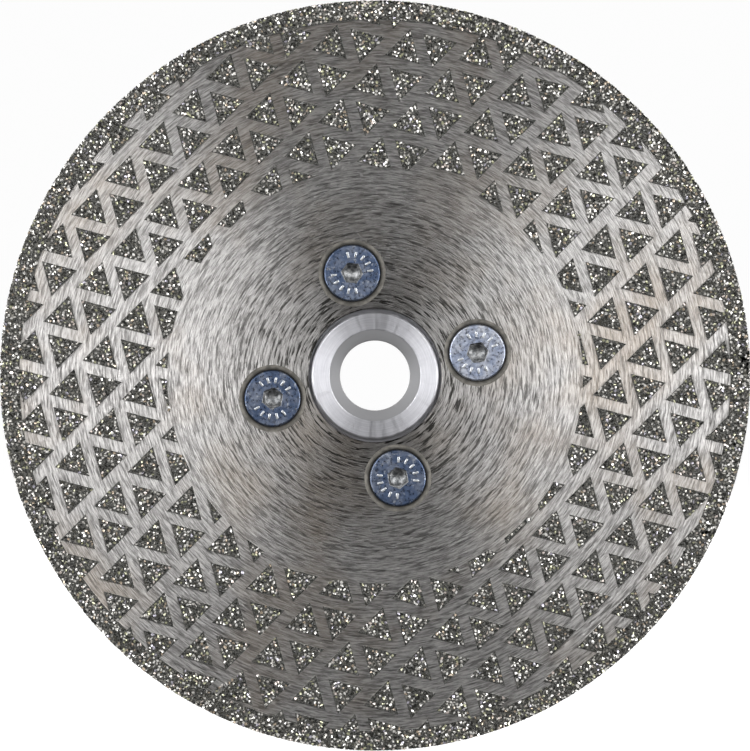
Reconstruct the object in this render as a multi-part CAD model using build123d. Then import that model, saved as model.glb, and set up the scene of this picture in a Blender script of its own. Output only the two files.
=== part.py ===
from build123d import *
import os
from math import hypot, radians, sin, cos, sqrt, tan

# Double-sided diamond grinding wheel, 125 mm, with a removable M14 flange.
# Each piece is drawn with its axis along Z and its front face up, and is turned as it is
# written: the wheel then stands upright, spins about Y and faces -Y. The disc seats on the
# flange in the plane through the origin.

# Disc
wheel_diameter = 125.0
core_thickness = 1.8
core_bore = 22.23
bore_chamfer = 0.15

# Grit, electroplated on both faces and round the edge
grit_height = 0.45
grit_edge_round = 0.35
band_width = 3.3
band_overlap = 0.4              # how far a tile that meets the band runs into it
field_inner_radius = 34.6

# Triangular grit tiles, in rows: each tile points across the row, and the next one back
tile_side = 6.0
column_gap = 1.95               # between the bases of tiles that point the same way
tip_gap = 1.97                  # from a tile's tip to the base line of the tiles beside it
row_bar = 2.04                  # bare bar from row to row
row_turn = 45.3                 # degrees, direction of the rows
shift_along = 2.34
shift_across = 0.45
smallest_tile_area = 0.5
smallest_tile_width = 0.4

# Countersunk hex socket screws, M5, which set the countersinks and the flange's size
screw_names = ["right", "top", "left", "bottom"]
screw_turn = 12.6               # degrees, place of the first screw
screw_diameter = 5.0
screw_length = 8.0
screw_tip_chamfer = 0.5
head_diameter = 9.43
head_land = 0.5
head_edge_round = 0.2
head_recess = 0.25              # from the disc's face down to the head
socket_width = 3.0
socket_depth = 1.9
socket_point_angle = 118.0
countersink_gap = 0.08          # between the head's cone and its seat
countersink_land = 0.81         # steel left between the bore and a countersink
screw_hole_gap = 0.05           # all round the shank in the flange

# Flange
boss_gap = 0.49                 # all round the boss in the disc's bore
boss_chamfer = 0.3
plate_margin = 6.5              # from the screw circle to the plate's edge
screw_end_gap = 0.55            # from a screw's tip to the plate's back
hub_diameter = 27.0
hub_length = 6.0
flat_width = 22.0               # across the two spanner flats
flat_length = 4.5
outer_chamfer = 0.8

# Spindle thread M14 x 2, as a plain wall at the thread's minor diameter
thread_minor_diameter = 11.835
front_entry = 1.72              # chamfer at the boss
relief_step = 1.33              # how much wider the relief at the hub's end is, each side
relief_depth = 1.5
relief_chamfer = 0.5

# Worked out
wheel_radius = wheel_diameter / 2
core_radius = wheel_radius - grit_height
band_inner_radius = wheel_radius - band_width
tile_height = tile_side * sqrt(3) / 2
column_pitch = tile_side + column_gap
row_height = tile_height + tip_gap
row_pitch = row_height + row_bar
shank_radius = screw_diameter / 2
screw_hole_radius = shank_radius + screw_hole_gap
head_radius = head_diameter / 2
head_top = core_thickness - head_recess
screw_tip = head_top - screw_length
cone_top = head_top - head_land
cone_bottom = cone_top - (head_radius - shank_radius)
cone_gap = countersink_gap * sqrt(2)
countersink_radius = head_radius + cone_gap + core_thickness - cone_top
screw_circle_radius = core_bore / 2 + countersink_land + countersink_radius
plate_radius = screw_circle_radius + plate_margin
plate_thickness = screw_end_gap - screw_tip
flange_depth = plate_thickness + hub_length
screw_places = PolarLocations(screw_circle_radius, len(screw_names), screw_turn)


def turned(points):
    """A solid of revolution about Z from a closed outline of (radius, height) points."""
    outline = Plane.XZ * make_face(Polyline(*points, close=True))
    return revolve(outline, Axis.Z)


def countersink():
    """What a screw's hole takes out: its tapered seat, and the shank's hole below it."""
    above = core_thickness + grit_height
    waist = core_thickness - (countersink_radius - screw_hole_radius)
    return turned([
        (0, -flange_depth),
        (screw_hole_radius, -flange_depth),
        (screw_hole_radius, waist),
        (countersink_radius + grit_height, above),
        (0, above),
    ])


def core_disc():
    """The steel disc, with its bore and four countersunk holes."""
    inner = core_bore / 2
    disc = turned([
        (inner, bore_chamfer),
        (inner + bore_chamfer, 0),
        (core_radius, 0),
        (core_radius, core_thickness),
        (inner + bore_chamfer, core_thickness),
        (inner, core_thickness - bore_chamfer),
    ])
    return disc - screw_places * countersink()


def tile_outlines():
    """Every grit triangle of one face, as corner points, before the field is trimmed."""
    turn = radians(row_turn)
    along = Vector(cos(turn), sin(turn))
    across = Vector(sin(turn), -cos(turn))
    rows = range(-int(wheel_radius / row_pitch) - 1, int(wheel_radius / row_pitch) + 2)
    columns = range(-int(wheel_radius / column_pitch) - 1, int(wheel_radius / column_pitch) + 2)
    outlines = []
    for row in rows:
        row_edge = shift_across + row * row_pitch
        for column in columns:
            middle = shift_along + column * column_pitch
            for base, step, shift in ((row_edge, tile_height, 0),
                                      (row_edge + row_height, -tile_height, column_pitch / 2)):
                centre = middle + shift
                outlines.append([
                    along * (centre - tile_side / 2) + across * base,
                    along * (centre + tile_side / 2) + across * base,
                    along * centre + across * (base + step),
                ])
    return outlines


def radius_span(corners):
    """The nearest and farthest distance from the axis to a triangle."""
    edges = [Line(corners[i], corners[i - 1]) for i in range(3)]
    nearest = min(edge.distance_to(Vector(0, 0)) for edge in edges)
    return nearest, max(hypot(corner.X, corner.Y) for corner in corners)


def grit_faces():
    """The flat outlines of one face's grit: the free tiles, and those that join the band."""
    ring = Circle(band_inner_radius) - Circle(field_inner_radius)
    joined_ring = Circle(band_inner_radius + band_overlap) - Circle(field_inner_radius)
    free, joined = [], []
    for corners in tile_outlines():
        nearest, farthest = radius_span(corners)
        if farthest < field_inner_radius or nearest > band_inner_radius:
            continue
        tile = make_face(Polyline(*corners, close=True))
        if farthest < band_inner_radius:
            group, area = free, ring
        else:
            group, area = joined, joined_ring
        if farthest > band_inner_radius or nearest < field_inner_radius:
            tile = tile & area
        for face in tile.faces():
            width = face.area / (face.outer_wire().length / 2)
            if face.area > smallest_tile_area and width > smallest_tile_width:
                group.append(face)
    return free, joined


def raised(faces):
    """Grit of full height standing on the disc's front face."""
    return [Pos(0, 0, core_thickness) * extrude(face, grit_height, dir=(0, 0, 1)) for face in faces]


def behind(solid):
    """The same thing on the disc's back face, as seen from behind."""
    return Pos(0, 0, core_thickness) * Rot(0, 180, 0) * solid


def rim_grit(joined):
    """The grit band that wraps the edge, with the tiles that run into it on both faces."""
    inner, outer = band_inner_radius, wheel_radius
    band = turned([
        (inner, -grit_height),
        (outer, -grit_height),
        (outer, core_thickness + grit_height),
        (inner, core_thickness + grit_height),
        (inner, core_thickness),
        (core_radius, core_thickness),
        (core_radius, 0),
        (inner, 0),
    ])
    corners = band.edges().filter_by(GeomType.CIRCLE).group_by(SortBy.RADIUS)[-1]
    band = fillet(corners, grit_edge_round)
    teeth = raised(joined)
    return band + teeth + [behind(tooth) for tooth in teeth]


def flange():
    """The aluminium flange: boss, plate, hub with spanner flats, spindle bore, screw holes."""
    boss = core_bore / 2 - boss_gap
    plate = plate_radius
    hub = hub_diameter / 2
    body = turned([
        (0, core_thickness),
        (boss - boss_chamfer, core_thickness),
        (boss, core_thickness - boss_chamfer),
        (boss, 0),
        (plate - outer_chamfer / 2, 0),
        (plate, -outer_chamfer / 2),
        (plate, outer_chamfer - plate_thickness),
        (plate - outer_chamfer, -plate_thickness),
        (hub, -plate_thickness),
        (hub, outer_chamfer - flange_depth),
        (hub - outer_chamfer, -flange_depth),
        (0, -flange_depth),
    ])
    minor = thread_minor_diameter / 2
    relief = minor + relief_step
    relief_end = relief_depth - flange_depth
    bore = turned([
        (0, core_thickness),
        (minor + front_entry, core_thickness),
        (minor, core_thickness - front_entry),
        (minor, relief_end + relief_step),
        (relief, relief_end),
        (relief, relief_chamfer - flange_depth),
        (relief + relief_chamfer, -flange_depth),
        (0, -flange_depth),
    ])
    flat_middle = flat_length / 2 - flange_depth
    side = hub_diameter
    flat_cut = Box(side, side, flat_length)
    cuts = [Pos(way * (flat_width + side) / 2, 0, flat_middle) * flat_cut for way in (-1, 1)]
    return body - bore - cuts - screw_places * countersink()


def screw():
    """One screw at the axis, at the height where it clamps the disc."""
    body = turned([
        (0, head_top),
        (head_radius - head_edge_round, head_top),
        (head_radius, head_top - head_edge_round),
        (head_radius, cone_top),
        (shank_radius, cone_bottom),
        (shank_radius, screw_tip + screw_tip_chamfer),
        (shank_radius - screw_tip_chamfer, screw_tip),
        (0, screw_tip),
    ])
    corner_radius = socket_width / sqrt(3)
    hexagon = Pos(0, 0, head_top) * RegularPolygon(corner_radius, 6)
    socket = extrude(hexagon, -socket_depth)
    point = socket_width / 2 / tan(radians(socket_point_angle / 2))
    drill = turned([
        (0, head_top - socket_depth - point),
        (socket_width / 2, head_top - socket_depth),
        (0, head_top - socket_depth),
    ])
    return body - socket - drill


def write(name, solids):
    """Turn a piece to face -Y and write it as one STEP file."""
    placed = [Rot(90, 0, 0) * solid for item in solids for solid in item.solids()]
    piece = placed[0] if len(placed) == 1 else Compound(children=placed)
    export_step(piece, f"parts/{name}.step")
    print(name, len(placed), "solids")


os.makedirs("parts", exist_ok=True)

free_faces, joined_faces = grit_faces()
front_tiles = raised(free_faces)

write("core_disc", [core_disc()])
write("rim_grit", [rim_grit(joined_faces)])
write("front_grit_tiles", front_tiles)
write("back_grit_tiles", [behind(tile) for tile in front_tiles])
write("flange", [flange()])
one_screw = screw()
for place, name in zip(screw_places, screw_names):
    write(f"screw_{name}", [place * one_screw])
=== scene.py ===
import bpy
import bmesh
import math
import random
from mathutils import Matrix, Vector


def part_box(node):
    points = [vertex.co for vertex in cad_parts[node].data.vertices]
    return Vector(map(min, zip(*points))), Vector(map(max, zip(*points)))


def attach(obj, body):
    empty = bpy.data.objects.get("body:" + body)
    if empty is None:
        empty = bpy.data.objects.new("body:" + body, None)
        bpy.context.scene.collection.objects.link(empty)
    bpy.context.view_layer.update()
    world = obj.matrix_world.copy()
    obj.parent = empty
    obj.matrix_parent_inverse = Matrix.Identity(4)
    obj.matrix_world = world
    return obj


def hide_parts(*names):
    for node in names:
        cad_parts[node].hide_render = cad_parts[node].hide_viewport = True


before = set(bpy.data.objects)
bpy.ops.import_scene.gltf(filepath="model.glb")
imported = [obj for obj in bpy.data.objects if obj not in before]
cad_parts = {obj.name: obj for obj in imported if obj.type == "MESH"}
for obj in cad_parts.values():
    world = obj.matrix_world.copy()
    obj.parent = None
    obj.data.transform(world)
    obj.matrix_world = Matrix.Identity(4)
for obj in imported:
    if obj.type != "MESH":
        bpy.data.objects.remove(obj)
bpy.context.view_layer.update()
scene = bpy.context.scene
mm = 0.001

coreLow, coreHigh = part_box("core_disc")
rimLow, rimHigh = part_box("rim_grit")
flangeLow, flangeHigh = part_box("flange")
coreFront, coreBack = coreLow.y, coreHigh.y
wheelRadius = rimHigh.x
coreRadius = coreHigh.x
screwSides = ["right", "top", "left", "bottom"]
screwPlaces = []
for side in screwSides:
    low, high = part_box("screw_" + side)
    screwPlaces.append((low + high) / 2)
print("frame loaded")


# node helpers

noiseRoughness = 0.6


def plug(tree, socket, value):
    if isinstance(value, bpy.types.NodeSocket):
        tree.links.new(value, socket)
    else:
        socket.default_value = value


def addNode(tree, kind, inputs=None, **settings):
    node = tree.nodes.new(kind)
    for name, value in settings.items():
        setattr(node, name, value)
    for name, value in (inputs or {}).items():
        plug(tree, node.inputs[name], value)
    return node


def maths(tree, operation, a, b=0.0):
    return addNode(tree, "ShaderNodeMath", {0: a, 1: b}, operation=operation).outputs[0]


def remap(tree, value, low, high, newLow, newHigh):
    ends = {"Value": value, "From Min": low, "From Max": high, "To Min": newLow, "To Max": newHigh}
    return addNode(tree, "ShaderNodeMapRange", ends).outputs[0]


def mixColour(tree, factor, a, b):
    return addNode(tree, "ShaderNodeMix", {0: factor, 6: a, 7: b}, data_type="RGBA").outputs[2]


def noise(tree, vector, scale, detail):
    inputs = {"Vector": vector, "Scale": scale, "Detail": detail, "Roughness": noiseRoughness}
    return addNode(tree, "ShaderNodeTexNoise", inputs).outputs["Fac"]


def ramp(tree, value, stops, interpolation="LINEAR"):
    node = addNode(tree, "ShaderNodeValToRGB", {"Fac": value})
    node.color_ramp.interpolation = interpolation
    points = node.color_ramp.elements
    while len(points) < len(stops):
        points.new(1.0)
    for point, (place, colour) in zip(points, stops):
        point.position = place
        point.color = (*colour, 1)
    return node.outputs["Color"]


def objectPoint(tree):
    return addNode(tree, "ShaderNodeTexCoord").outputs["Object"]


def newGroup(name, inputs, outputs):
    group = bpy.data.node_groups.new(name, "ShaderNodeTree")
    for label, value in inputs.items():
        socket = group.interface.new_socket(label, in_out="INPUT", socket_type="NodeSocketFloat")
        socket.default_value = value
    for label in outputs:
        group.interface.new_socket(label, in_out="OUTPUT", socket_type="NodeSocketFloat")
    return group, group.nodes.new("NodeGroupInput"), group.nodes.new("NodeGroupOutput")


def useGroup(tree, group, **inputs):
    node = addNode(tree, "ShaderNodeGroup", node_tree=group)
    for name, value in inputs.items():
        plug(tree, node.inputs[name], value)
    return node


def newMaterial(name, **settings):
    material = bpy.data.materials.new(name)
    material.use_nodes = True
    shader = material.node_tree.nodes["Principled BSDF"]
    for label, value in settings.items():
        shader.inputs[label].default_value = value
    return material, material.node_tree, shader


# shared effects

def vectorMaths(tree, operation, inputs, output="Vector"):
    return addNode(tree, "ShaderNodeVectorMath", inputs, operation=operation).outputs[output]


def makeTurnedLines():  # tool marks that run round the axis, as noise stretched along the turn
    inputs = {"linesPerMm": 4.0, "marksPerMm": 0.3, "spokes": 0.0, "shift": 0.0, "detail": 3.0}
    group, enter, leave = newGroup("turnedLines", inputs, ["Value"])
    point = addNode(group, "ShaderNodeSeparateXYZ", {"Vector": objectPoint(group)})
    across = addNode(group, "ShaderNodeCombineXYZ", {"X": point.outputs["X"], "Z": point.outputs["Z"]})
    radius = vectorMaths(group, "LENGTH", {0: across.outputs[0]}, "Value")
    side = vectorMaths(group, "NORMALIZE", {0: across.outputs[0]})
    outward = maths(group, "ADD", radius, point.outputs["Y"])  # tapers and ends get lines as well
    lines = maths(group, "MULTIPLY", outward, maths(group, "MULTIPLY", enter.outputs["linesPerMm"], 1 / mm))
    marks = maths(group, "MULTIPLY", enter.outputs["marksPerMm"], 1 / mm)
    marked = vectorMaths(group, "SCALE", {0: across.outputs[0], "Scale": marks})
    spoked = vectorMaths(group, "SCALE", {0: side, "Scale": enter.outputs["spokes"]})
    place = vectorMaths(group, "ADD", {0: marked, 1: spoked})
    step = addNode(group, "ShaderNodeCombineXYZ", {"Y": maths(group, "ADD", lines, enter.outputs["shift"])})
    place = vectorMaths(group, "ADD", {0: place, 1: step.outputs[0]})
    value = noise(group, place, 1.0, enter.outputs["detail"])
    group.links.new(value, leave.inputs["Value"])
    return group


def makeSpecks():  # patches and grain with no direction
    inputs = {"sizeMm": 1.0, "low": 0.4, "high": 0.6, "detail": 3.0}
    group, enter, leave = newGroup("specks", inputs, ["Value"])
    scale = maths(group, "DIVIDE", 1 / mm, enter.outputs["sizeMm"])
    value = noise(group, objectPoint(group), scale, enter.outputs["detail"])
    value = remap(group, value, enter.outputs["low"], enter.outputs["high"], 0.0, 1.0)
    group.links.new(value, leave.inputs["Value"])
    return group


turnedLines = makeTurnedLines()
specks = makeSpecks()


def lineMarks(tree, linesPerMm, marksPerMm, shift, low, high, spokes=0.0):
    values = {"linesPerMm": linesPerMm, "marksPerMm": marksPerMm, "spokes": spokes, "shift": shift}
    return remap(tree, useGroup(tree, turnedLines, **values).outputs["Value"], low, high, 0.0, 1.0)


def patches(tree, sizeMm, low, high):
    return useGroup(tree, specks, sizeMm=sizeMm, low=low, high=high).outputs["Value"]


def brushRound(tree, shader):  # fine grooves that run round the axis
    tangent = addNode(tree, "ShaderNodeTangent", direction_type="RADIAL", axis="Y")
    tree.links.new(tangent.outputs[0], shader.inputs["Tangent"])
    shader.inputs["Anisotropic Rotation"].default_value = 0.25  # a quarter turn, across the tangent


def addBump(tree, shader, height, strength, depthMm):
    inputs = {"Height": height, "Strength": strength, "Distance": depthMm * mm}
    tree.links.new(addNode(tree, "ShaderNodeBump", inputs).outputs[0], shader.inputs["Normal"])


def axisDistance(tree):
    point = vectorMaths(tree, "MULTIPLY", {0: objectPoint(tree), 1: (1, 0, 1)})
    return vectorMaths(tree, "LENGTH", {0: point}, "Value")


def alongAxis(tree):
    return addNode(tree, "ShaderNodeSeparateXYZ", {"Vector": objectPoint(tree)}).outputs["Y"]


# materials

steelLooks = {  # lines: how many a mm across, marks a mm along, shift, low, high
    "pale": (0.60, 0.585, 0.575, 1), "dark": (0.13, 0.126, 0.12, 1), "stain": (0.33, 0.27, 0.21, 1),
    # scratch is the scratches' colour and also the colour of the painted shade near the hub
    "scratch": (0.025, 0.024, 0.022, 1), "hubShade": 0.5, "anisotropy": 0.92, "roughness": (0.34, 0.46),
    "broadLines": (1.3, 0.16, 0, 0.36, 0.64), "fineLines": (3.6, 0.45, 7, 0.40, 0.60),
    "hairLines": (7.0, 0.7, 23, 0.40, 0.60), "scratchLines": (2.6, 0.30, 19, 0.52, 0.59),
    "fineShare": 0.62, "hairShare": 0.38, "broadShare": 0.25, "stainSize": 26, "stainShare": 0.45,
    "hubFrom": 12, "hubTo": 32, "scratchTo": 34, "farScratch": 0.4, "relief": 0.55, "reliefMm": 0.04,
}


def makeDiscSteel(looks):
    material, tree, shader = newMaterial("discSteel", Metallic=1.0, Anisotropic=looks["anisotropy"])
    radius = axisDistance(tree)
    broad = lineMarks(tree, *looks["broadLines"])
    fine = lineMarks(tree, *looks["fineLines"])
    hair = lineMarks(tree, *looks["hairLines"])
    fineShare = maths(tree, "MULTIPLY", fine, looks["fineShare"])
    strokes = maths(tree, "ADD", fineShare, maths(tree, "MULTIPLY", hair, looks["hairShare"]))
    colour = mixColour(tree, strokes, looks["dark"], looks["pale"])
    colour = mixColour(tree, maths(tree, "MULTIPLY", broad, looks["broadShare"]), colour, looks["pale"])
    stain = maths(tree, "MULTIPLY", patches(tree, looks["stainSize"], 0.48, 0.66), looks["stainShare"])
    colour = mixColour(tree, stain, colour, looks["stain"])
    hubFrom, hubTo, scratchTo = looks["hubFrom"] * mm, looks["hubTo"] * mm, looks["scratchTo"] * mm
    nearHub = remap(tree, radius, hubFrom, scratchTo, 1.0, looks["farScratch"])
    scratch = maths(tree, "MULTIPLY", lineMarks(tree, *looks["scratchLines"]), nearHub)
    colour = mixColour(tree, scratch, colour, looks["scratch"])
    # painted shade: the steel darkens towards the hub, mixed towards the scratch colour
    hubShade = remap(tree, radius, hubFrom, hubTo, looks["hubShade"], 0.0)
    colour = mixColour(tree, hubShade, colour, looks["scratch"])
    plug(tree, shader.inputs["Base Color"], colour)
    plug(tree, shader.inputs["Roughness"], remap(tree, fine, 0.0, 1.0, *looks["roughness"]))
    relief = maths(tree, "SUBTRACT", maths(tree, "ADD", strokes, broad), scratch)
    addBump(tree, shader, relief, looks["relief"], looks["reliefMm"])
    brushRound(tree, shader)
    return material


cutLooks = {
    # deep is a painted shade colour, laid on between the two depths below it, in mm into the countersink
    "pale": (0.20, 0.188, 0.165, 1), "dark": (0.11, 0.104, 0.092, 1), "deep": (0.02, 0.019, 0.017, 1),
    "shadeFrom": 0.3, "shadeTo": 0.85, "metallic": 0.3, "roughness": 0.6,
}


def makeCutSteel(looks):  # the turned walls of the countersinks, with painted shade deeper in the recess
    material, tree, shader = newMaterial("cutSteel", Metallic=looks["metallic"], Roughness=looks["roughness"])
    worn = patches(tree, 1.2, 0.40, 0.62)
    colour = mixColour(tree, worn, looks["dark"], looks["pale"])
    # painted shade: the walls turn near black deeper in the countersink, where shade falls
    ends = (coreFront + looks["shadeFrom"] * mm, coreFront + looks["shadeTo"] * mm)
    deep = remap(tree, alongAxis(tree), *ends, 0.0, 1.0)
    plug(tree, shader.inputs["Base Color"], mixColour(tree, deep, colour, looks["deep"]))
    addBump(tree, shader, patches(tree, 0.3, 0.35, 0.65), 0.3, 0.02)
    return material


aluminiumLooks = {
    "pale": (0.62, 0.62, 0.65, 1), "dark": (0.48, 0.48, 0.51, 1), "bore": (0.44, 0.44, 0.45, 1),
    "boreRadius": 7.6, "boreEdge": 0.04, "anisotropy": 0.68, "roughness": (0.38, 0.54), "boreRoughness": 0.8,
}


def makeTurnedAluminium(looks):
    material, tree, shader = newMaterial("turnedAluminium", Metallic=1.0, Anisotropic=looks["anisotropy"])
    lines = lineMarks(tree, 6.0, 0.0, 3, 0.30, 0.70, spokes=2.0)
    spokes = lineMarks(tree, 0.0, 0.0, 11, 0.42, 0.58, spokes=9.0)
    wear = patches(tree, 2.0, 0.52, 0.72)
    boreRadius, boreEdge = looks["boreRadius"] * mm, looks["boreEdge"] * mm
    bore = remap(tree, axisDistance(tree), boreRadius - boreEdge, boreRadius, 1.0, 0.0)
    colour = mixColour(tree, lines, looks["dark"], looks["pale"])
    colour = mixColour(tree, maths(tree, "MULTIPLY", wear, 0.35), colour, looks["dark"])
    plug(tree, shader.inputs["Base Color"], mixColour(tree, bore, colour, looks["bore"]))
    rough = remap(tree, maths(tree, "MAXIMUM", spokes, wear), 0.0, 1.0, *looks["roughness"])
    rough = addNode(tree, "ShaderNodeMix", {0: bore, 2: rough, 3: looks["boreRoughness"]}).outputs[0]
    plug(tree, shader.inputs["Roughness"], rough)
    addBump(tree, shader, lines, 0.3, 0.012)
    brushRound(tree, shader)
    return material


zincLooks = {
    "blue": (0.09, 0.125, 0.21, 1), "cloud": (0.25, 0.28, 0.35, 1), "worn": (0.62, 0.64, 0.66, 1),
    "tickShade": 0.05, "roughness": (0.24, 0.44),
}
paleZincLooks = dict(zincLooks, blue=(0.34, 0.39, 0.52, 1), cloud=(0.64, 0.66, 0.72, 1))


def makeZinc(name, looks):
    material, tree, shader = newMaterial(name, Metallic=1.0)
    cloud = patches(tree, 2.2, 0.42, 0.72)
    colour = mixColour(tree, cloud, looks["blue"], looks["cloud"])
    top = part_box("screw_top")[0].y
    raised = remap(tree, alongAxis(tree), top - looks["tickShade"] * mm, top, 1.0, 0.0)
    rubbed = maths(tree, "MAXIMUM", raised, maths(tree, "MULTIPLY", patches(tree, 0.6, 0.60, 0.70), 0.5))
    plug(tree, shader.inputs["Base Color"], mixColour(tree, rubbed, colour, looks["worn"]))
    uneven = patches(tree, 0.5, 0.35, 0.65)
    plug(tree, shader.inputs["Roughness"], remap(tree, uneven, 0.0, 1.0, *looks["roughness"]))
    addBump(tree, shader, patches(tree, 0.25, 0.3, 0.7), 0.25, 0.02)
    return material


socketLooks = {"pale": (0.34, 0.345, 0.35, 1), "dark": (0.12, 0.125, 0.13, 1), "roughness": 0.45}


def makeSocketSteel(looks):
    material, tree, shader = newMaterial("socketSteel", Metallic=1.0, Roughness=looks["roughness"])
    worn = patches(tree, 0.7, 0.40, 0.62)
    plug(tree, shader.inputs["Base Color"], mixColour(tree, worn, looks["dark"], looks["pale"]))
    addBump(tree, shader, worn, 0.4, 0.03)
    return material


bondLooks = {
    # dark is a painted shade colour for the bond between the crystals and on the rim's outer face
    "dark": (0.02, 0.02, 0.018, 1), "pale": (0.62, 0.61, 0.58, 1), "pitShade": 0.85,
    "wallFrom": 0.12, "wallTo": 0.20, "edgeRadius": 62.2, "edgeFade": 0.1, "roughness": 0.35,
}


def makeNickelBond(looks):  # pale nickel walls, with painted shade near black between the crystals
    material, tree, shader = newMaterial("nickelBond", Metallic=1.0, Roughness=looks["roughness"])
    middle = (coreFront + coreBack) / 2
    height = maths(tree, "ABSOLUTE", maths(tree, "SUBTRACT", alongAxis(tree), middle))
    height = maths(tree, "SUBTRACT", height, (coreBack - coreFront) / 2)
    top = remap(tree, height, looks["wallFrom"] * mm, looks["wallTo"] * mm, 0.0, 1.0)
    edgeRadius, edgeFade = looks["edgeRadius"] * mm, looks["edgeFade"] * mm
    edge = remap(tree, axisDistance(tree), edgeRadius - edgeFade, edgeRadius, 0.0, 1.0)
    pits = patches(tree, 0.25, 0.40, 0.60)
    pitShade = remap(tree, pits, 0.0, 1.0, looks["pitShade"], 1.0)
    # painted shade: the bond's top between the crystals and the rim's outer face are made near black
    dark = maths(tree, "MULTIPLY", maths(tree, "MAXIMUM", top, edge), pitShade)
    plug(tree, shader.inputs["Base Color"], mixColour(tree, dark, looks["pale"], looks["dark"]))
    addBump(tree, shader, pits, 0.7, 0.05)
    return material


grainLooks = {
    "stops": [
        (0.00, (0.025, 0.025, 0.022)), (0.16, (0.08, 0.077, 0.062)), (0.28, (0.28, 0.27, 0.24)),
        (0.42, (0.66, 0.64, 0.60)), (0.60, (0.90, 0.88, 0.84)), (0.75, (0.48, 0.48, 0.32)),
        (0.85, (0.50, 0.41, 0.31)), (0.91, (0.76, 0.67, 0.61)), (0.96, (0.50, 0.48, 0.55)),
    ],
    "nickel": (0.06, 0.06, 0.055, 1), "nickelShare": 0.35,
    "roughness": 0.22, "metallic": 0.5, "coat": 0.6, "coatRoughness": 0.08,
}


def makeDiamondGrain(looks):
    finish = {"Metallic": looks["metallic"], "Roughness": looks["roughness"]}
    material, tree, shader = newMaterial("diamondGrain", **finish)
    shader.inputs["Coat Weight"].default_value = looks["coat"]
    shader.inputs["Coat Roughness"].default_value = looks["coatRoughness"]
    pick = addNode(tree, "ShaderNodeAttribute", attribute_name="grain").outputs["Fac"]
    colour = ramp(tree, pick, looks["stops"], "CONSTANT")
    plated = maths(tree, "MULTIPLY", patches(tree, 0.18, 0.40, 0.60), looks["nickelShare"])
    plug(tree, shader.inputs["Base Color"], mixColour(tree, plated, colour, looks["nickel"]))
    return material


discSteel = makeDiscSteel(steelLooks)
turnedAluminium = makeTurnedAluminium(aluminiumLooks)
blueZinc = makeZinc("blueZinc", zincLooks)
paleZinc = makeZinc("paleZinc", paleZincLooks)
socketSteel = makeSocketSteel(socketLooks)
cutSteel = makeCutSteel(cutLooks)
nickelBond = makeNickelBond(bondLooks)
diamondGrain = makeDiamondGrain(grainLooks)
print("materials made")


# mesh helpers

squareToAxis = 0.995  # a face whose normal is this close to the axis counts as square to it


def shadeTurned(mesh, degrees):  # round walls are smooth, faces square to the axis stay flat
    mesh.shade_smooth()
    mesh.set_sharp_from_angle(angle=math.radians(degrees))
    for face in mesh.polygons:
        if abs(face.normal.y) > squareToAxis:
            face.use_smooth = False


def addPiece(name, mesh, material, smoothTo=None):
    piece = bpy.data.objects.new(name, mesh)
    scene.collection.objects.link(piece)
    mesh.materials.clear()
    mesh.materials.append(material)
    if smoothTo is None:
        mesh.shade_flat()
    else:
        shadeTurned(mesh, smoothTo)
    return piece


def meshFrom(bm, name):
    mesh = bpy.data.meshes.new(name)
    bm.to_mesh(mesh)
    bm.free()
    return mesh


def spun(profile, steps):  # a closed outline of (radius, y) in mm, turned about the spindle axis
    bm = bmesh.new()
    corners = [bm.verts.new((radius * mm, y * mm, 0)) for radius, y in profile]
    pairs = zip(corners, corners[1:] + corners[:1])
    edges = [bm.edges.new(pair) for pair in pairs if max(pair[0].co.x, pair[1].co.x) > 0]
    bmesh.ops.spin(bm, geom=corners + edges, cent=(0, 0, 0), axis=(0, 1, 0), dvec=(0, 0, 0),
                   angle=2 * math.pi, steps=steps, use_merge=True)
    bmesh.ops.remove_doubles(bm, verts=bm.verts, dist=1e-7)
    bmesh.ops.dissolve_degenerate(bm, dist=1e-8, edges=bm.edges)
    bmesh.ops.recalc_face_normals(bm, faces=bm.faces)
    return bm


def helix(profile, pitch, turns, steps, start):  # a closed outline of (radius, y) in mm, screwed along +Y
    bm = bmesh.new()
    corners = [bm.verts.new((radius * mm, (y + start) * mm, 0)) for radius, y in profile]
    face = bm.faces.new(corners)
    bmesh.ops.spin(bm, geom=[face], cent=(0, 0, 0), axis=(0, 1, 0), dvec=(0, pitch * mm / steps, 0),
                   angle=2 * math.pi * turns, steps=int(steps * turns))
    bmesh.ops.holes_fill(bm, edges=[edge for edge in bm.edges if edge.is_boundary])
    bmesh.ops.recalc_face_normals(bm, faces=bm.faces)
    return bm


def bevelEdges(bm, edges, width, segments=2):  # width in mm
    bmesh.ops.bevel(bm, geom=edges, offset=width * mm, offset_type="OFFSET", segments=segments,
                    profile=0.5, affect="EDGES", material=-1, clamp_overlap=True)


def bevelSharp(bm, width, degrees=25, segments=2):
    limit = math.radians(degrees)
    sharp = [edge for edge in bm.edges if edge.is_manifold and edge.calc_face_angle(0) > limit]
    bevelEdges(bm, sharp, width, segments)


def baked(piece):  # the mesh as its modifiers leave it
    graph = bpy.context.evaluated_depsgraph_get()
    mesh = bpy.data.meshes.new_from_object(piece.evaluated_get(graph))
    piece.modifiers.clear()
    piece.data = mesh
    return mesh


def cut(piece, cutters):
    helpers = []
    for bm in cutters:
        helper = bpy.data.objects.new("cutter", meshFrom(bm, "cutter"))
        scene.collection.objects.link(helper)
        modifier = piece.modifiers.new("cut", "BOOLEAN")
        modifier.operation, modifier.solver, modifier.object = "DIFFERENCE", "EXACT", helper
        helpers.append(helper)
    baked(piece)
    for helper in helpers:
        bpy.data.objects.remove(helper)


# flange

flangeSizes = {
    "boss": 10.625, "bossChamfer": 0.3, "hub": 13.5, "plate": 7.0, "chamfer": 0.8,
    "flats": 22.0, "flatLength": 4.5, "entry": 1.72, "minor": 5.9175, "major": 7.0, "pitch": 2.0,
    "crest": 0.28, "root": 1.9, "relief": 1.33, "reliefDepth": 1.5, "reliefChamfer": 0.5,
    "screwHole": 2.55, "screwSeat": 3.778, "steps": 160, "threadSteps": 56, "softEdge": 0.07,
}


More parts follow.
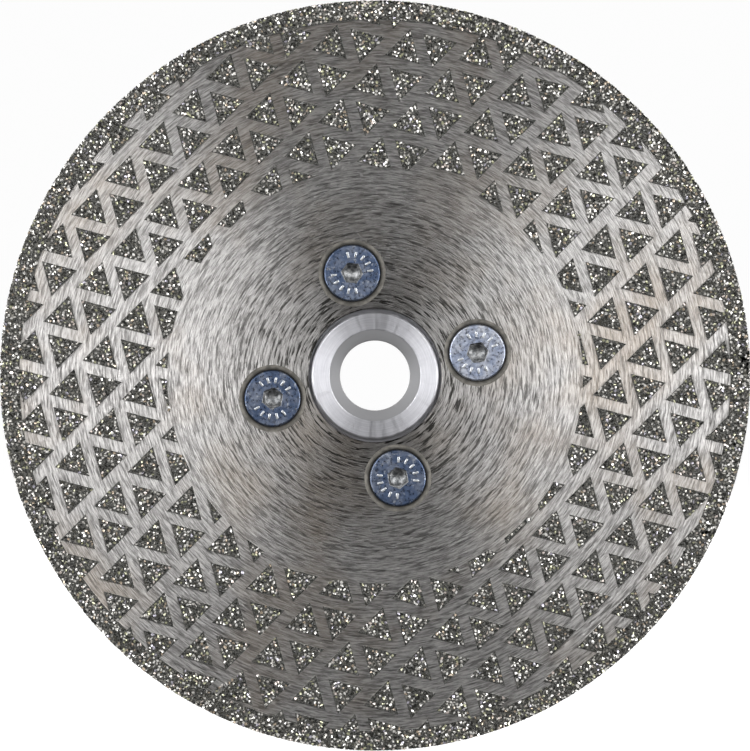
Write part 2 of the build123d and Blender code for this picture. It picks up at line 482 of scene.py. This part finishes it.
def makeFlange(sizes):
    front, back, plateRadius = flangeLow.y / mm, flangeHigh.y / mm, flangeHigh.x / mm
    boss, hub, minor, chamfer = sizes["boss"], sizes["hub"], sizes["minor"], sizes["chamfer"]
    relief = minor + sizes["relief"]
    reliefEnd = back - sizes["reliefDepth"]
    profile = [
        (minor, front + sizes["entry"]), (minor + sizes["entry"], front),
        (boss - sizes["bossChamfer"], front), (boss, front + sizes["bossChamfer"]), (boss, 0),
        (plateRadius - chamfer / 2, 0), (plateRadius, chamfer / 2), (plateRadius, sizes["plate"] - chamfer),
        (plateRadius - chamfer, sizes["plate"]), (hub, sizes["plate"]), (hub, back - chamfer),
        (hub - chamfer, back), (relief + sizes["reliefChamfer"], back),
        (relief, back - sizes["reliefChamfer"]), (relief, reliefEnd), (minor, reliefEnd - sizes["relief"]),
    ]
    bm = spun(profile, sizes["steps"])
    bevelSharp(bm, sizes["softEdge"])
    piece = addPiece("flange_turned", meshFrom(bm, "flange_turned"), turnedAluminium, 30)
    pitch, major, root, crest = sizes["pitch"], sizes["major"], sizes["root"] / 2, sizes["crest"] / 2
    inside = minor - 0.3  # the cutter starts clear of the wall
    groove = [(inside, -root), (major, -crest), (major, crest), (inside, root)]
    start = front + sizes["entry"] + pitch / 2
    turns = (reliefEnd - start) / pitch + 0.5
    cutters = [helix(groove, pitch, turns, sizes["threadSteps"], start)]
    for side in (-1, 1):
        block = bmesh.new()
        bmesh.ops.create_cube(block, size=hub * 2 * mm)
        away = Vector((side * (sizes["flats"] / 2 + hub) * mm, (back - sizes["flatLength"] + hub) * mm, 0))
        bmesh.ops.translate(block, verts=block.verts, vec=away)
        cutters.append(block)
    hole, seat, above, through = sizes["screwHole"], sizes["screwSeat"], 0.4, 9
    for place in screwPlaces:
        outline = [(0, -above), (seat + above, -above), (hole, seat - hole), (hole, through), (0, through)]
        taper = spun(outline, 64)
        bmesh.ops.translate(taper, verts=taper.verts, vec=(place.x, 0, place.z))
        cutters.append(taper)
    cut(piece, cutters)
    shadeTurned(piece.data, 30)
    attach(piece, "flange")
    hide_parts("flange")


makeFlange(flangeSizes)
print("flange made")


# screws

screwSizes = {
    "land": 0.5, "edge": 0.2, "shank": 2.5, "tipChamfer": 0.5, "minor": 2.05, "pitch": 0.8,
    "crest": 0.84, "root": 0.12, "plainNeck": 0.6, "threadSteps": 40,
    "socket": 3.0, "socketDepth": 1.3, "socketPoint": 0.75, "mouth": 0.13, "steps": 72, "softEdge": 0.05,
    "ticks": 10, "tickStep": 24, "tickFrom": 2.55, "tickTo": 3.55, "tickWidth": 0.4, "tickHeight": 0.12,
    "turns": {"right": 20, "top": 35, "left": 10, "bottom": 50},
}


def makeTick(bm, sizes, top, turn):
    middle = (sizes["tickFrom"] + sizes["tickTo"]) / 2
    long, height = sizes["tickTo"] - sizes["tickFrom"], sizes["tickHeight"]
    place = Matrix.Rotation(turn, 4, "Y") @ Matrix.Translation((middle * mm, top * mm, 0))
    shape = Matrix.Diagonal((long * mm, 2 * height * mm, sizes["tickWidth"] * mm, 1))
    cube = bmesh.ops.create_cube(bm, size=1.0, matrix=place @ shape)
    edges = {edge for vert in cube["verts"] for edge in vert.link_edges}
    bevelEdges(bm, list(edges), height * 0.7)


def makeScrewMesh(sizes):  # head up towards -Y, on the axis
    low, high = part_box("screw_top")
    radius, top, tip = (high.x - low.x) / 2 / mm, low.y / mm, high.y / mm
    shank, corner = sizes["shank"], sizes["socket"] / math.sqrt(3)
    taper = top + sizes["land"]
    profile = [
        (0, top), (radius - sizes["edge"], top), (radius, top + sizes["edge"]), (radius, taper),
        (shank, taper + radius - shank), (shank, tip - sizes["tipChamfer"]),
        (shank - sizes["tipChamfer"], tip), (0, tip),
    ]
    bm = spun(profile, sizes["steps"])
    bevelSharp(bm, sizes["softEdge"])
    piece = addPiece("screwPattern", meshFrom(bm, "screwPattern"), blueZinc, 30)
    socket = bmesh.new()  # it starts 1 mm above the head, so the cut is clean
    lying = Matrix.Rotation(math.pi / 2, 4, "X")
    place = Matrix.Translation((0, (top + sizes["socketDepth"] / 2 - 0.5) * mm, 0)) @ lying
    bmesh.ops.create_cone(socket, cap_ends=True, segments=6, radius1=corner * mm, radius2=corner * mm,
                          depth=(sizes["socketDepth"] + 1) * mm, matrix=place)
    bottom = top + sizes["socketDepth"]
    point = spun([(0, bottom - 0.1), (corner * 0.86, bottom - 0.1), (0, bottom + sizes["socketPoint"])], 36)
    start = taper + radius - shank + sizes["plainNeck"]
    turns = (tip - start) / sizes["pitch"] + 1
    minor, root, crest, outside = sizes["minor"], sizes["root"] / 2, sizes["crest"] / 2, shank + 0.2
    groove = [(minor, -root), (outside, -crest), (outside, crest), (minor, root)]
    cut(piece, [socket, point, helix(groove, sizes["pitch"], turns, sizes["threadSteps"], start)])
    bm = bmesh.new()
    bm.from_mesh(piece.data)
    bpy.data.objects.remove(piece)
    mouth = [edge for edge in bm.edges if all(
        abs(vert.co.y - top * mm) < 1e-6 and vert.co.x ** 2 + vert.co.z ** 2 < (corner * mm * 1.05) ** 2
        for vert in edge.verts) and edge.calc_face_angle(0) > 1]
    bevelEdges(bm, mouth, sizes["mouth"])
    for face in bm.faces:  # bare metal inside the socket
        middle = face.calc_center_median()
        inside = math.hypot(middle.x, middle.z) < (corner + sizes["mouth"] * 1.1) * mm
        face.material_index = int(inside and (top + 0.01) * mm < middle.y < (bottom + 1) * mm)
    half = sizes["ticks"] // 2
    for count in range(sizes["ticks"]):  # plain raised ticks in two arcs
        angle = 90 + (count % half - (half - 1) / 2) * sizes["tickStep"] + 180 * (count // half)
        makeTick(bm, sizes, top, math.radians(angle))
    return meshFrom(bm, "screwPattern")


def makeScrews(sizes):
    pattern = makeScrewMesh(sizes)
    for name, place in zip(screwSides, screwPlaces):
        node = "screw_" + name
        mesh = pattern.copy()
        turn = Matrix.Rotation(math.radians(sizes["turns"][name]), 4, "Y")
        mesh.transform(Matrix.Translation((place.x, 0, place.z)) @ turn)
        indices = [polygon.material_index for polygon in mesh.polygons]
        piece = addPiece(node + "_detailed", mesh, paleZinc if name == "right" else blueZinc, 30)
        mesh.materials.append(socketSteel)
        mesh.polygons.foreach_set("material_index", indices)
        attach(piece, node)
        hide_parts(node)


makeScrews(screwSizes)
print("screws made")


# disc

discSizes = {
    "chamfer": 0.15, "bore": 11.115, "mouth": 5.578, "steps": 192, "softEdge": 0.03, "softMouth": 0.07,
}


def nearScrew(point, reach):
    return min(math.hypot(point.x - place.x, point.z - place.z) for place in screwPlaces) < reach * mm


def makeDisc(sizes):
    front, back, bore, chamfer = coreFront / mm, coreBack / mm, sizes["bore"], sizes["chamfer"]
    rim = coreRadius / mm
    profile = [(bore, front + chamfer), (bore + chamfer, front), (rim, front), (rim, back),
               (bore + chamfer, back), (bore, back - chamfer)]
    bm = spun(profile, sizes["steps"])
    bevelSharp(bm, sizes["softEdge"])
    piece = addPiece("disc_brushed", meshFrom(bm, "disc_brushed"), discSteel)
    cutters = []
    for place in screwPlaces:
        mouth, deep = sizes["mouth"], back - front
        cone = spun([(0, front - 1), (mouth + 1, front - 1), (mouth - deep - 1, back + 1), (0, back + 1)], 96)
        bmesh.ops.translate(cone, verts=cone.verts, vec=(place.x, 0, place.z))
        cutters.append(cone)
    cut(piece, cutters)
    bm = bmesh.new()
    bm.from_mesh(piece.data)
    reach = sizes["mouth"] + 0.1
    mouths = [edge for edge in bm.edges if abs(edge.verts[0].co.y - coreFront) < 1e-6
              and nearScrew(edge.verts[0].co, reach) and nearScrew(edge.verts[1].co, reach)
              and edge.is_manifold and edge.calc_face_angle(0) > 0.5]
    bevelEdges(bm, mouths, sizes["softMouth"])
    for face in bm.faces:  # the countersinks' walls
        face.material_index = int(abs(face.normal.y) < 0.98 and nearScrew(face.calc_center_median(), reach))
    piece.data.materials.clear()
    piece.data.materials.append(discSteel)
    piece.data.materials.append(cutSteel)
    bm.to_mesh(piece.data)
    bm.free()
    shadeTurned(piece.data, 40)
    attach(piece, "disc")
    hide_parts("core_disc")


makeDisc(discSizes)
print("disc made")


# grit: a thin bed of nickel with crystals standing in it

gritSizes = {
    "bedShare": 0.5, "edgeShare": 0.85, "bedSoftEdge": 0.08, "inset": 0.19, "spacing": 0.42,
    "grainSize": 0.64, "smallest": 0.72, "largest": 1.18, "grainShapes": 12, "grainPoints": 9,
    "pointReach": (0.42, 0.55), "smoothTo": 42, "seed": 11,
}


def copyNode(node):
    bm = bmesh.new()
    bm.from_mesh(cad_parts[node].data)
    bmesh.ops.remove_doubles(bm, verts=bm.verts, dist=1e-6)
    bmesh.ops.dissolve_limit(bm, angle_limit=math.radians(0.5), verts=bm.verts, edges=bm.edges)
    return bm


def settle(bm, share, edgeShare):  # brings the top of the grit down towards the disc
    for vert in bm.verts:
        x, y, z = vert.co
        if y < coreFront:
            y = coreFront + (y - coreFront) * share
        elif y > coreBack:
            y = coreBack + (y - coreBack) * share
        radius = math.hypot(x, z)
        if radius > coreRadius + 1e-6:
            scale = (coreRadius + (radius - coreRadius) * edgeShare) / radius
            x, z = x * scale, z * scale
        vert.co = (x, y, z)


def makeGrains(sizes):  # a hidden collection of crystal shapes
    collection = bpy.data.collections.new("grainShapes")
    for count in range(sizes["grainShapes"]):
        dice = random.Random(sizes["seed"] + count)
        bm = bmesh.new()
        for _ in range(sizes["grainPoints"]):
            direction = Vector((dice.gauss(0, 1), dice.gauss(0, 1), dice.gauss(0, 1))).normalized()
            bm.verts.new(direction * dice.uniform(*sizes["pointReach"]))
        hull = bmesh.ops.convex_hull(bm, input=bm.verts)
        bmesh.ops.delete(bm, geom=hull["geom_interior"], context="VERTS")
        bmesh.ops.recalc_face_normals(bm, faces=bm.faces)
        shape = bpy.data.objects.new("grainShape", meshFrom(bm, "grainShape"))
        shape.data.materials.append(diamondGrain)
        collection.objects.link(shape)
    return collection


def makeScatter(collection, sizes):
    tree = bpy.data.node_groups.new("grainScatter", "GeometryNodeTree")
    tree.interface.new_socket("Geometry", in_out="INPUT", socket_type="NodeSocketGeometry")
    tree.interface.new_socket("Geometry", in_out="OUTPUT", socket_type="NodeSocketGeometry")
    enter, leave = tree.nodes.new("NodeGroupInput"), tree.nodes.new("NodeGroupOutput")
    perSquareMetre = 3.0 / (sizes["spacing"] * mm) ** 2  # more than fit, so the spacing decides
    spots = addNode(tree, "GeometryNodeDistributePointsOnFaces", {
        "Mesh": enter.outputs[0], "Distance Min": sizes["spacing"] * mm, "Density Max": perSquareMetre,
        "Seed": sizes["seed"]}, distribute_method="POISSON")
    shapes = addNode(tree, "GeometryNodeCollectionInfo", {
        "Collection": collection, "Separate Children": True, "Reset Children": True})
    turn = addNode(tree, "FunctionNodeRandomValue", {
        1: (math.tau,) * 3, "Seed": 1}, data_type="FLOAT_VECTOR")
    grain = sizes["grainSize"] * mm
    size = addNode(tree, "FunctionNodeRandomValue", {
        0: (grain * sizes["smallest"],) * 3, 1: (grain * sizes["largest"],) * 3, "Seed": 2},
        data_type="FLOAT_VECTOR")
    crystals = addNode(tree, "GeometryNodeInstanceOnPoints", {
        "Points": spots.outputs["Points"], "Instance": shapes.outputs[0], "Pick Instance": True,
        "Rotation": turn.outputs[0], "Scale": size.outputs[0]})
    pick = addNode(tree, "FunctionNodeRandomValue", {"Seed": 3}, data_type="FLOAT")
    stored = addNode(tree, "GeometryNodeStoreNamedAttribute", {
        "Geometry": crystals.outputs[0], "Name": "grain", "Value": pick.outputs[1]},
        data_type="FLOAT", domain="INSTANCE")
    real = addNode(tree, "GeometryNodeRealizeInstances", {"Geometry": stored.outputs[0]})
    tree.links.new(real.outputs[0], leave.inputs[0])
    return tree


def carrier(node, keep, sizes):  # the bed's outer faces that take grains, drawn in from their edges
    bm = copyNode(node)
    settle(bm, sizes["bedShare"], sizes["edgeShare"])
    bm.normal_update()
    rest = [face for face in bm.faces if not keep(face)]
    bmesh.ops.delete(bm, geom=rest, context="FACES")
    ring = bmesh.ops.inset_region(bm, faces=bm.faces, thickness=sizes["inset"] * mm, use_boundary=True,
                                  use_even_offset=True)["faces"]
    bmesh.ops.delete(bm, geom=ring, context="FACES")
    bmesh.ops.triangulate(bm, faces=bm.faces)
    return bm


def keepInside(mesh, node):  # no crystal stands out of the grit's own envelope
    low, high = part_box(node)
    for vert in mesh.vertices:
        x, y, z = vert.co
        radius = math.hypot(x, z)
        scale = min(1.0, wheelRadius / radius)
        vert.co = (x * scale, min(max(y, low.y), high.y), z * scale)


def makeBed(node, name, sizes):
    bm = copyNode(node)
    settle(bm, sizes["bedShare"], sizes["edgeShare"])
    bmesh.ops.recalc_face_normals(bm, faces=bm.faces)
    bevelSharp(bm, sizes["bedSoftEdge"], 40, 1)
    piece = addPiece(name, meshFrom(bm, name), nickelBond, 30)
    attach(piece, "disc")
    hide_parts(node)


def makeCrystals(node, name, keep, scatter, sizes):
    piece = addPiece(name, meshFrom(carrier(node, keep, sizes), name), diamondGrain)
    modifier = piece.modifiers.new("grains", "NODES")
    modifier.node_group = scatter
    mesh = baked(piece)
    keepInside(mesh, node)
    mesh.materials.clear()
    mesh.materials.append(diamondGrain)
    mesh.shade_smooth()
    mesh.set_sharp_from_angle(angle=math.radians(sizes["smoothTo"]))
    print(name, len(mesh.polygons), "faces")
    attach(piece, "disc")
    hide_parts(node)


standClear = 0.02 * mm  # a face this far off the steel is the grit's own
leastTilt = 0.8


def facesFront(face):
    return face.normal.y < -leastTilt and face.calc_center_median().y < coreFront - standClear


def facesBack(face):
    return face.normal.y > leastTilt and face.calc_center_median().y > coreBack + standClear


def facesOut(face):
    middle = face.calc_center_median()
    outward = middle.x * face.normal.x + middle.z * face.normal.z > 0
    atRim = math.hypot(middle.x, middle.z) > coreRadius - 0.5 * mm
    return outward and atRim and abs(face.normal.y) <= leastTilt


def makeGrit(sizes):
    scatter = makeScatter(makeGrains(sizes), sizes)
    makeBed("rim_grit", "rim_bond", sizes)
    makeBed("front_grit_tiles", "front_tile_bond", sizes)
    makeBed("back_grit_tiles", "back_tile_bond", sizes)
    makeCrystals("front_grit_tiles", "front_tile_grains", facesFront, scatter, sizes)
    makeCrystals("back_grit_tiles", "back_tile_grains", facesBack, scatter, sizes)
    makeCrystals("rim_grit", "front_rim_grains", facesFront, scatter, sizes)
    makeCrystals("rim_grit", "back_rim_grains", facesBack, scatter, sizes)
    makeCrystals("rim_grit", "edge_grains", facesOut, scatter, sizes)


makeGrit(gritSizes)
print("grit made")


# studio

studio = {
    "background": 0.98, "ambient": 0.115, "floorPale": 0.3, "floorGlow": 0.95, "floorReach": 6.0,
    "lens": 200.0, "frameHeightMm": 125.08, "clipEnd": 50,
    "lamps": {  # turn round the axis, distance, forward, size, power
        "RightSoftbox": (30, 0.72, 1.15, 0.62, 9), "LeftSoftbox": (150, 0.72, 1.15, 0.62, 9),
        "RightFill": (-8, 1.1, 0.5175, 0.6, 11), "LeftFill": (188, 1.1, 0.5175, 0.6, 11),
    },
}


def makeWorld(values):
    world = bpy.data.worlds.new("studioWorld")
    world.use_nodes = True
    scene.world = world
    tree = world.node_tree
    tree.nodes.clear()
    seen = addNode(tree, "ShaderNodeBackground", {"Color": (1, 1, 1, 1), "Strength": values["background"]})
    lit = addNode(tree, "ShaderNodeBackground", {"Color": (1, 1, 1, 1), "Strength": values["ambient"]})
    path = addNode(tree, "ShaderNodeLightPath")
    both = addNode(tree, "ShaderNodeMixShader", {
        0: path.outputs["Is Camera Ray"], 1: lit.outputs[0], 2: seen.outputs[0]})
    addNode(tree, "ShaderNodeOutputWorld", {"Surface": both.outputs[0]})


def makeFloor(values):
    bm = bmesh.new()
    bmesh.ops.create_grid(bm, x_segments=1, y_segments=1, size=values["floorReach"],
                          matrix=Matrix.Translation((0, 0, rimLow.z)))
    material, tree, shader = newMaterial("paleFloor", Roughness=0.9)
    shader.inputs["Base Color"].default_value = (values["floorPale"],) * 3 + (1,)
    shader.inputs["Emission Color"].default_value = (1, 1, 1, 1)
    shader.inputs["Emission Strength"].default_value = values["floorGlow"]
    floor = addPiece("floor", meshFrom(bm, "floor"), material)
    floor.visible_glossy = False


def addLight(name, turn, distance, forward, size, power):  # turn is the angle round the spindle axis
    light = bpy.data.lights.new(name, "AREA")
    light.size = size
    light.energy = power
    lamp = bpy.data.objects.new(name, light)
    turn = math.radians(turn)
    lamp.location = (distance * math.cos(turn), -forward, distance * math.sin(turn))
    lamp.rotation_euler = (-lamp.location).to_track_quat("-Z", "Y").to_euler()
    lamp.visible_camera = False
    scene.collection.objects.link(lamp)


def makeLights(lamps):  # the same lamps stand in front and behind
    for side, way in (("front", 1), ("back", -1)):
        for name, (turn, distance, forward, size, power) in lamps.items():
            addLight(side + name, turn, distance, forward * way, size, power)


def makeCamera(values):
    camera = bpy.data.cameras.new("camera")
    camera.lens = values["lens"]
    stand = values["frameHeightMm"] * mm * values["lens"] / camera.sensor_width
    holder = bpy.data.objects.new("camera", camera)
    holder.location = (0, coreFront - stand, 0)
    holder.rotation_euler = (math.radians(90), 0, 0)
    camera.clip_end = values["clipEnd"]
    scene.collection.objects.link(holder)
    scene.camera = holder


makeWorld(studio)
makeFloor(studio)
makeLights(studio["lamps"])
makeCamera(studio)
scene.view_settings.view_transform = "Standard"
print("studio made")
